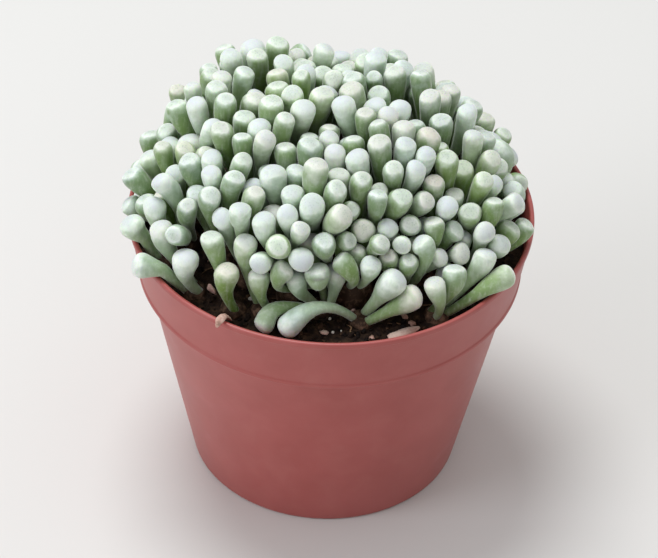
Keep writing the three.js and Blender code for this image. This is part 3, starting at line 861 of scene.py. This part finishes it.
def scatter(name, material, draws, count, sizes, tones, ring, jag=0.5, front=False):
    """Loose bits of a size range in millimetres, a little sunk in a ring of the soil or at its front."""
    form, faces = ball(CRUMB_DETAIL)
    surface = Surface()
    for i in range(count):
        angle = draws.uniform(0, FULL_TURN)
        if front:
            angle = draws.normal(-math.pi / 2, FRONT_SPREAD)
        radius = math.sqrt(draws.uniform(ring[0] ** 2, ring[1] ** 2))
        x, y = radius * math.cos(angle), radius * math.sin(angle)
        size = sizes[0] + (sizes[1] - sizes[0]) * draws.beta(*CRUMB_SPREAD)
        place = np.array((x, y, soil_surface(x, y) + size * (HALF_CRUMB - SUNK)))
        lumps = np.array([noise.noise(Vector(v * CRUMB_LUMP + CRUMB_SHIFT * i)) for v in form])
        shape = form * (1 + jag * lumps)[:, None] * draws.uniform(LEAST_FORM, MOST_FORM)
        shape = shape @ any_turn(draws) * size / 2
        tone = draws.uniform(*tones)
        clear = np.linalg.norm(LEAF_PLACES[0] - place, axis=1) - LEAF_PLACES[1]
        if clear.min() > size * HALF_CRUMB:
            surface.add(shape + place, faces, tone=tone)
    keep(surface.piece(name), material, "peat_mix")


def add_strand(surface, points, radius, **values):
    """A thin tube with tapered ends along some points."""
    places = np.linspace(0, 1, STRAND_RINGS)
    path, ahead = curve_points(points, places)
    side, back = side_directions(points, ahead)
    turn = full_turn(STRAND_SIDES)
    width = radius * (STRAND_END + (1 - STRAND_END) * np.sin(places * math.pi) ** 0.5)[:, None, None]
    across = side[:, None] * np.cos(turn)[:, None] + back[:, None] * np.sin(turn)[:, None]
    surface.add_tube(path[:, None] + width * across, path[0], path[-1], **values)


def peat_fibres(material, draws):
    surface = Surface()
    for _ in range(FIBRES):
        radius, angle = draws.uniform(*FIBRE_RING), draws.uniform(0, FULL_TURN)
        heading, length = draws.uniform(0, FULL_TURN), draws.uniform(*FIBRE_LENGTH)
        middle = np.array((radius * math.cos(angle), radius * math.sin(angle)))
        points = []
        for share in np.linspace(-0.5, 0.5, FIBRE_POINTS):
            flat = middle + share * length * np.array((math.cos(heading), math.sin(heading)))
            flat = flat + draws.uniform(-FIBRE_WANDER, FIBRE_WANDER, 2)
            flat = flat * min(1, (SOIL_EDGE - FIBRE_WALL_ROOM) / math.hypot(*flat))
            points.append((*flat, soil_surface(*flat) + draws.uniform(*FIBRE_RISE)))
        add_strand(surface, points, draws.uniform(*FIBRE_RADIUS), tone=draws.uniform(*FIBRE_TONES))
    keep(surface.piece("peat_fibres"), material, "peat_mix")


# Shrivelled leaves

DRY_RINGS = 26
DRY_SIDES = 20
# Places along the leaf, and its half width there as a share of its widest
DRY_PROFILE = ((0, 0.12, 0.35, 0.75, 0.92, 1), (0.5, 0.8, 1, 0.9, 0.6, 0.25))
DRY_THICKNESS = 0.36
DRY_CURL = 0.34
EDGE_WAVES = 11
EDGE_WAVE_HEIGHT = 0.1
WRINKLES = 9
WRINKLE_TWIST = 4
WRINKLE_HEIGHT = 0.3
# Tone of a dry leaf: where it starts, and what the last one adds
DRY_TONES = (0.55, 0.35)


def dry_leaves(material, draws):
    """Shrivelled leaves: flat, wrinkled along their length and curled at their edges."""
    places = np.linspace(0, 1, DRY_RINGS)
    turn = full_turn(DRY_SIDES)
    for number, (points, width) in enumerate(DRY_LEAVES, 1):
        surface = Surface()
        path, ahead = curve_points(points, places)
        side, back = side_directions(points, ahead)
        half = width * np.interp(places, *DRY_PROFILE)
        half = half * (1 + EDGE_WAVE_HEIGHT * np.sin(EDGE_WAVES * places + draws.uniform(0, PHASES)))
        across = half[:, None] * np.cos(turn)
        folds = np.sin(WRINKLES * np.cos(turn) + WRINKLE_TWIST * places[:, None])
        up = DRY_THICKNESS * half[:, None] * np.sin(turn) * (1 + WRINKLE_HEIGHT * folds)
        up = up + DRY_CURL * across ** 2 / width
        rings = path[:, None] + side[:, None] * across[..., None] + back[:, None] * up[..., None]
        tone = DRY_TONES[0] + DRY_TONES[1] * number / len(DRY_LEAVES)
        surface.add_tube(rings, path[0], path[-1], tone=tone)
        keep(surface.piece(f"curled_leaf_{number}"), material, "dry_leaf_skin", f"dry_leaf_{number}")


# Materials

def linear(code):
    """The linear colour of an sRGB hex value."""
    parts = [int(code[i:i + 2], 16) / 255 for i in (1, 3, 5)]
    return [c / 12.92 if c <= 0.04045 else ((c + 0.055) / 1.055) ** 2.4 for c in parts] + [1]


def fill(node, inputs):
    """Gives inputs of a node their values, or links them to other nodes' outputs."""
    for key, value in inputs.items():
        if isinstance(value, bpy.types.NodeSocket):
            node.id_data.links.new(value, node.inputs[key])
        else:
            node.inputs[key].default_value = value


def add_node(tree, kind, inputs=None, stops=None, **settings):
    """Adds a shader node with its settings, its inputs and its ramp's stops, and gives its outputs."""
    made = tree.nodes.new("ShaderNode" + kind)
    for key, value in settings.items():
        setattr(made, key, value)
    fill(made, inputs or {})
    for i, (place, colour) in enumerate(stops or ()):
        element = made.color_ramp.elements[i] if i < 2 else made.color_ramp.elements.new(place)
        element.position = place
        element.color = linear(colour)
    return made.outputs


def new_material(name, values):
    """A material with values that are the same all over, a way to add nodes to it, and its shader."""
    material = bpy.data.materials.new(name)
    material.use_nodes = True
    shader = material.node_tree.nodes["Principled BSDF"]
    fill(shader, values)
    return material, partial(add_node, material.node_tree), shader


# Inputs of a Mix node that mixes colours, and its output
MIX_SHARE, MIX_A, MIX_B, MIX_OUT = 0, 6, 7, 2

# Leaf colours from the root, at 0, through the tip's white rim, at 0.58, to the middle of its window, at 1
# The darker greens towards the root are partly the leaf's own colour and partly painted shade, the shade that
# falls deep between crowded leaves and below each tip
COOL_LEAF = (
    (0, "#5e743a"), (0.18, "#708a4e"), (0.3, "#7b9560"), (0.38, "#829b70"), (0.45, "#88a083"),
    (0.515, "#b4c6ba"), (0.58, "#ecf4ee"), (0.74, "#d2dcd7"), (1, "#bcc8c2"))
YELLOW_LEAF = (
    (0, "#567412"), (0.18, "#6c8c24"), (0.3, "#7c9b36"), (0.38, "#88a34a"), (0.45, "#93ac62"),
    (0.515, "#bccf9c"), (0.58, "#eef5e2"), (0.74, "#d5e0c8"), (1, "#bfccb2"))
TAN = "#e3d3c6"
STREAK_WAX = "#bccab2"
FLECK_WAX = "#e9efe6"
FULL_BLOOM = "#cddad0"
WINDOW_DOT = "#9dac9f"
WINDOW_LILAC = "#cac8d6"

# Sizes of the leaf's patterns in millimetres. Real flecks of wax and dots in a window are finer than these,
# which are as coarse as they need to be to show
WAX_CLOUD = 4
WAX_FLECK = 0.9
WAX_STREAK = 1.2
DOT_SPACING = 0.7
# Streaks are this many times as long as they are wide
STREAK_LENGTH = 5


def leaf_flesh_and_shade(add, tones, place):
    """Leaf colour, green at the stalk and paling towards the tip, earlier on a leaf with more bloom. The
    stalk's darker greens are partly the leaf's own colour and partly painted shade. It gives how far up the
    leaf each point counts as lying, from 0 to 1, and the colour there."""
    cloud = add("TexNoise", {"Vector": place, "Scale": 1 / (WAX_CLOUD * MM), "Detail": 3})["Fac"]
    drift = add("MapRange", {"Value": cloud, "From Min": 0.3, "From Max": 0.7,
                             "To Min": -0.12, "To Max": 0.12})["Result"]
    early = add("MapRange", {"Value": tones["bloom"], "To Min": -0.2, "To Max": 0.16})["Result"]
    uneven = add("Math", {0: drift, 1: early}, operation="ADD")["Value"]
    shifted = add("Math", {0: tones["along"], 1: uneven}, operation="ADD")["Value"]
    upward = add("Math", {0: shifted, 1: 0.5}, operation="MULTIPLY")["Value"]
    # These ramps darken the stalk towards the root: partly the leaf's own green, partly painted shade
    cool = add("ValToRGB", {"Fac": upward}, stops=COOL_LEAF)["Color"]
    yellow = add("ValToRGB", {"Fac": upward}, stops=YELLOW_LEAF)["Color"]
    flesh_and_shade = add("Mix", {MIX_SHARE: tones["yellow"], MIX_A: cool, MIX_B: yellow}, data_type="RGBA")[MIX_OUT]
    return upward, flesh_and_shade


def rubbed_wax(add, tones, place, upward, flesh_and_shade, flecks):
    """Wax left in upright streaks and flecks, over the leaf's colour with its painted shade, tanned at the
    tip of an old leaf.
    """
    upright = add("Mapping", {"Vector": place, "Scale": (1, 1, 1 / STREAK_LENGTH)})["Vector"]
    streaks = add("TexNoise", {"Vector": upright, "Scale": 1 / (WAX_STREAK * MM), "Detail": 3})["Fac"]
    streak_share = add("MapRange", {"Value": streaks, "From Min": 0.48, "From Max": 0.72,
                                    "To Max": 0.5})["Result"]
    streaked = add("Mix", {MIX_SHARE: streak_share, MIX_A: flesh_and_shade, MIX_B: linear(STREAK_WAX)},
                   data_type="RGBA")[MIX_OUT]
    near_tip = add("MapRange", {"Value": upward, "From Min": 0.38, "From Max": 0.6})["Result"]
    tan_share = add("Math", {0: near_tip, 1: tones["tan"]}, operation="MULTIPLY")["Value"]
    tanned = add("Mix", {MIX_SHARE: tan_share, MIX_A: streaked, MIX_B: linear(TAN)},
                 data_type="RGBA")[MIX_OUT]
    fleck_share = add("MapRange", {"Value": flecks, "From Min": 0.55, "From Max": 0.75,
                                   "To Max": 0.16})["Result"]
    return add("Mix", {MIX_SHARE: fleck_share, MIX_A: tanned, MIX_B: linear(FLECK_WAX)},
               data_type="RGBA")[MIX_OUT]


def tip_window(add, tones, place, upward, skin):
    """The clear window inside the tip's rim: dull dots, and a lilac tint on leaves with more bloom."""
    window = add("MapRange", {"Value": upward, "From Min": 0.58, "From Max": 0.8})["Result"]
    dots = add("TexVoronoi", {"Vector": place, "Scale": 1 / (DOT_SPACING * MM)})["Distance"]
    dotted = add("MapRange", {"Value": dots, "From Min": 0.45, "From Max": 0.15, "To Max": 0.5})["Result"]
    dot_share = add("Math", {0: dotted, 1: window}, operation="MULTIPLY")["Value"]
    speckled = add("Mix", {MIX_SHARE: dot_share, MIX_A: skin, MIX_B: linear(WINDOW_DOT)},
                   data_type="RGBA")[MIX_OUT]
    lilac = add("MapRange", {"Value": tones["bloom"], "From Min": 0.4, "To Max": 0.7})["Result"]
    lilac_share = add("Math", {0: lilac, 1: window}, operation="MULTIPLY")["Value"]
    return add("Mix", {MIX_SHARE: lilac_share, MIX_A: speckled, MIX_B: linear(WINDOW_LILAC)},
               data_type="RGBA")[MIX_OUT]


def waxy_leaf():
    """Succulent leaf skin, smooth and taut under a fine wax bloom: matte, with soft light inside it, green at
    the stalk and white round the tip, the stalk's green darkened in part by painted shade. Some leaves carry
    more bloom, which pales the whole of them."""
    material, add, shader = new_material("waxy_leaf_skin", {
        "IOR": 1.42, "Roughness": 0.55, "Subsurface Weight": 0.35, "Subsurface Scale": 2.5 * MM,
        "Subsurface Radius": (0.7, 1, 0.45), "Sheen Weight": 0.6, "Sheen Roughness": 0.32})
    tones = {key: add("Attribute", attribute_name=key)["Fac"]
             for key in ("along", "yellow", "tan", "bloom")}
    place = add("TexCoord")["Object"]
    flecks = add("TexNoise", {"Vector": place, "Scale": 1 / (WAX_FLECK * MM), "Detail": 2})["Fac"]
    upward, flesh_and_shade = leaf_flesh_and_shade(add, tones, place)
    skin = rubbed_wax(add, tones, place, upward, flesh_and_shade, flecks)
    skin = tip_window(add, tones, place, upward, skin)
    pale_share = add("MapRange", {"Value": tones["bloom"], "From Min": 0.35, "To Max": 0.34})["Result"]
    bloomed = add("Mix", {MIX_SHARE: pale_share, MIX_A: skin, MIX_B: linear(FULL_BLOOM)},
                  data_type="RGBA")[MIX_OUT]
    bright = add("MapRange", {"Value": tones["bloom"], "To Min": 0.86, "To Max": 1.06})["Result"]
    final = add("HueSaturation", {"Color": bloomed, "Value": bright})["Color"]
    relief = add("Bump", {"Height": flecks, "Strength": 0.25, "Distance": 0.08 * MM})["Normal"]
    fill(shader, {"Base Color": final, "Normal": relief})
    return material


# Sizes of the pot's patterns in millimetres. A real mould's grain is finer than this one,
# which is as coarse as it needs to be to show
DYE_CLOUD = 14
DUST_CLOUD = 9
MOULD_GRAIN = 0.8
TERRACOTTA_DYE = ((0.2, "#a04b46"), (0.8, "#ab5551"))
DUST = "#c98f86"


def moulded_pot():
    """Polypropylene, injection moulded and dyed terracotta: a satin surface, faintly cloudy in its dye, with
    a thin veil of dust that dulls it in places."""
    material, add, shader = new_material("moulded_terracotta_polypropylene", {
        "IOR": 1.49, "Subsurface Weight": 0.04, "Subsurface Scale": 1 * MM})
    place = add("TexCoord")["Object"]
    cloud = add("TexNoise", {"Vector": place, "Scale": 1 / (DYE_CLOUD * MM), "Detail": 4})["Fac"]
    grain = add("TexNoise", {"Vector": place, "Scale": 1 / (MOULD_GRAIN * MM), "Detail": 2})["Fac"]
    dust = add("TexNoise", {"Vector": place, "Scale": 1 / (DUST_CLOUD * MM), "Detail": 4,
                            "Roughness": 0.55})["Fac"]
    dyed = add("ValToRGB", {"Fac": cloud}, stops=TERRACOTTA_DYE)["Color"]
    dusty = add("MapRange", {"Value": dust, "From Min": 0.45, "From Max": 0.8, "To Max": 0.13})["Result"]
    aged = add("Mix", {MIX_SHARE: dusty, MIX_A: dyed, MIX_B: linear(DUST)}, data_type="RGBA")[MIX_OUT]
    satin = add("MapRange", {"Value": dust, "From Min": 0.3, "From Max": 0.7,
                             "To Min": 0.38, "To Max": 0.46})["Result"]
    relief = add("Bump", {"Height": grain, "Strength": 0.12, "Distance": 0.05 * MM})["Normal"]
    fill(shader, {"Base Color": aged, "Roughness": satin, "Normal": relief})
    return material


# Milled peat with bits of bark: damp and nearly black in its hollows, pale brown where it has dried
PEAT_COLOURS = ((0, "#100b09"), (0.35, "#281c16"), (0.6, "#463427"), (0.8, "#705641"), (1, "#97795c"))
# Volcanic glass popped by heat: white, porous and chalky
PERLITE_COLOURS = ((0, "#b9b2a6"), (1, "#efece4"))
# Leaf skin that has lost its water and wax, and bark: papery, dark brown to a rosy tan
DRY_SKIN_COLOURS = ((0, "#3a2a20"), (0.3, "#7d6350"), (0.6, "#bf988a"), (1, "#e0c6b8"))

# Sizes of their patterns in millimetres
CRUMBLE = 2.4
GRIT = 0.5


def crumbly(name, stops, least_roughness, depth):
    """Loose or shrivelled matter from plants, or porous grains: a rough, broken surface with hardly any
    gloss, its colour led by each bit's own tone."""
    material, add, shader = new_material(name, {"IOR": 1.4, "Specular IOR Level": 0.25})
    tone = add("Attribute", attribute_name="tone")["Fac"]
    place = add("TexCoord")["Object"]
    coarse = add("TexNoise", {"Vector": place, "Scale": 1 / (CRUMBLE * MM), "Detail": 6,
                              "Roughness": 0.65})["Fac"]
    fine = add("TexNoise", {"Vector": place, "Scale": 1 / (GRIT * MM), "Detail": 3})["Fac"]
    mixed = add("MapRange", {"Value": coarse, "From Min": 0.3, "From Max": 0.7,
                             "To Min": -0.3, "To Max": 0.3})["Result"]
    led = add("Math", {0: tone, 1: mixed}, operation="ADD", use_clamp=True)["Value"]
    colour = add("ValToRGB", {"Fac": led}, stops=stops)["Color"]
    rough = add("MapRange", {"Value": coarse, "To Min": least_roughness, "To Max": 1.0})["Result"]
    relief = add("Bump", {"Height": fine, "Strength": 0.6, "Distance": depth * MM})["Normal"]
    fill(shader, {"Base Color": colour, "Roughness": rough, "Normal": relief})
    return material


# Scene

FLOOR_SIZE = 4000
FLOOR_COLOURS = ((0.3, "#d8d6d2"), (0.7, "#dddbd7"))
CLOUDS_PER_METRE = 3

# Camera: angle above the level, metres from the rim's middle, sideways lean, lens, and the point it faces
EYE_RISE = 39.8
EYE_DISTANCE = 1.299
EYE_LEAN = 1.9
LENS = 241
RIM_MIDDLE = Vector((0, 0, POT_HEIGHT * MM))
AIM = Vector((0, -0.01296, 0.0724))

AIR_COLOUR = "#eef0f2"
AIR_STRENGTH = 0.66


def pale_floor():
    """A matte painted board, so pale and even that only the shadow shows on it."""
    material, add, shader = new_material("pale_matte_floor", {"Roughness": 0.85, "Specular IOR Level": 0.2})
    place = add("TexCoord")["Object"]
    cloud = add("TexNoise", {"Vector": place, "Scale": CLOUDS_PER_METRE})["Fac"]
    shade = add("ValToRGB", {"Fac": cloud}, stops=FLOOR_COLOURS)["Color"]
    fill(shader, {"Base Color": shade})
    reach = FLOOR_SIZE * MM / 2
    mesh = bpy.data.meshes.new("floor")
    mesh.from_pydata([(-reach, -reach, 0), (reach, -reach, 0), (reach, reach, 0), (-reach, reach, 0)], [],
                     [(0, 1, 2, 3)])
    floor = bpy.data.objects.new("floor", mesh)
    floor.data.materials.append(material)
    bpy.context.scene.collection.objects.link(floor)


def soft_light(name, place, size, power, colour):
    """A round soft light that faces the rim, with its place and size in metres."""
    light = bpy.data.lights.new(name, "AREA")
    light.shape = "DISK"
    light.size = size
    light.energy = power
    light.color = linear(colour)[:3]
    lamp = bpy.data.objects.new(name, light)
    lamp.location = place
    lamp.rotation_euler = (RIM_MIDDLE - Vector(place)).to_track_quat("-Z", "Y").to_euler()
    bpy.context.scene.collection.objects.link(lamp)


def studio():
    soft_light("light_above", place=(-0.2, 0.25, 1.15), size=0.55, power=8.7, colour="#fafdff")
    soft_light("light_left", place=(-1.0, -0.5, 0.6), size=0.6, power=4.5, colour="#f4f6ff")
    world = bpy.data.worlds.new("studio")
    world.use_nodes = True
    air = world.node_tree.nodes["Background"]
    air.inputs["Color"].default_value = linear(AIR_COLOUR)
    air.inputs["Strength"].default_value = AIR_STRENGTH
    bpy.context.scene.world = world
    bpy.context.scene.view_settings.view_transform = "Standard"


def camera():
    rise = math.radians(EYE_RISE)
    eye = RIM_MIDDLE + EYE_DISTANCE * Vector((0, -math.cos(rise), math.sin(rise)))
    data = bpy.data.cameras.new("camera")
    data.lens = LENS
    made = bpy.data.objects.new("camera", data)
    made.location = eye
    turn = (AIM - eye).to_track_quat("-Z", "Y") @ Quaternion((0, 0, 1), math.radians(EYE_LEAN))
    made.rotation_euler = turn.to_euler()
    bpy.context.scene.collection.objects.link(made)
    bpy.context.scene.camera = made


HEAD_PLANS = sprout_heads(seeded_draws(SEED))
settle(HEAD_PLANS)
LEAF_PLACES = leaf_places()

camera()
studio()
pale_floor()

LEAF_SKIN = waxy_leaf()
PEAT = crumbly("peat_and_bark", PEAT_COLOURS, least_roughness=0.6, depth=0.35)
PERLITE = crumbly("perlite_grains", PERLITE_COLOURS, least_roughness=0.8, depth=0.25)
DRY_SKIN = crumbly("dry_leaf_skin", DRY_SKIN_COLOURS, least_roughness=0.5, depth=0.2)

leaf_heads(LEAF_SKIN, DRY_SKIN)
nursery_pot(moulded_pot())
soil_block(PEAT)

DRAWS = np.random.default_rng(LOOKS_SEED + 1)
scatter("peat_crumbs", PEAT, DRAWS, count=620, sizes=(0.9, 3.6), tones=(0, 0.55),
        ring=(24, SOIL_EDGE - 1.4))
scatter("front_crumbs", PEAT, DRAWS, count=320, sizes=(0.9, 3.2), tones=(0, 0.65),
        ring=(38, SOIL_EDGE - 1.2), front=True)
scatter("bark_bits", DRY_SKIN, DRAWS, count=46, sizes=(1.5, 4.2), tones=(0.1, 0.9),
        ring=(36, SOIL_EDGE - 1.6))
scatter("perlite", PERLITE, DRAWS, count=22, sizes=(1.2, 2.8), tones=(0.2, 1),
        ring=(34, SOIL_EDGE - 1.6), jag=0.35)
peat_fibres(PEAT, DRAWS)
dry_leaves(DRY_SKIN, DRAWS)
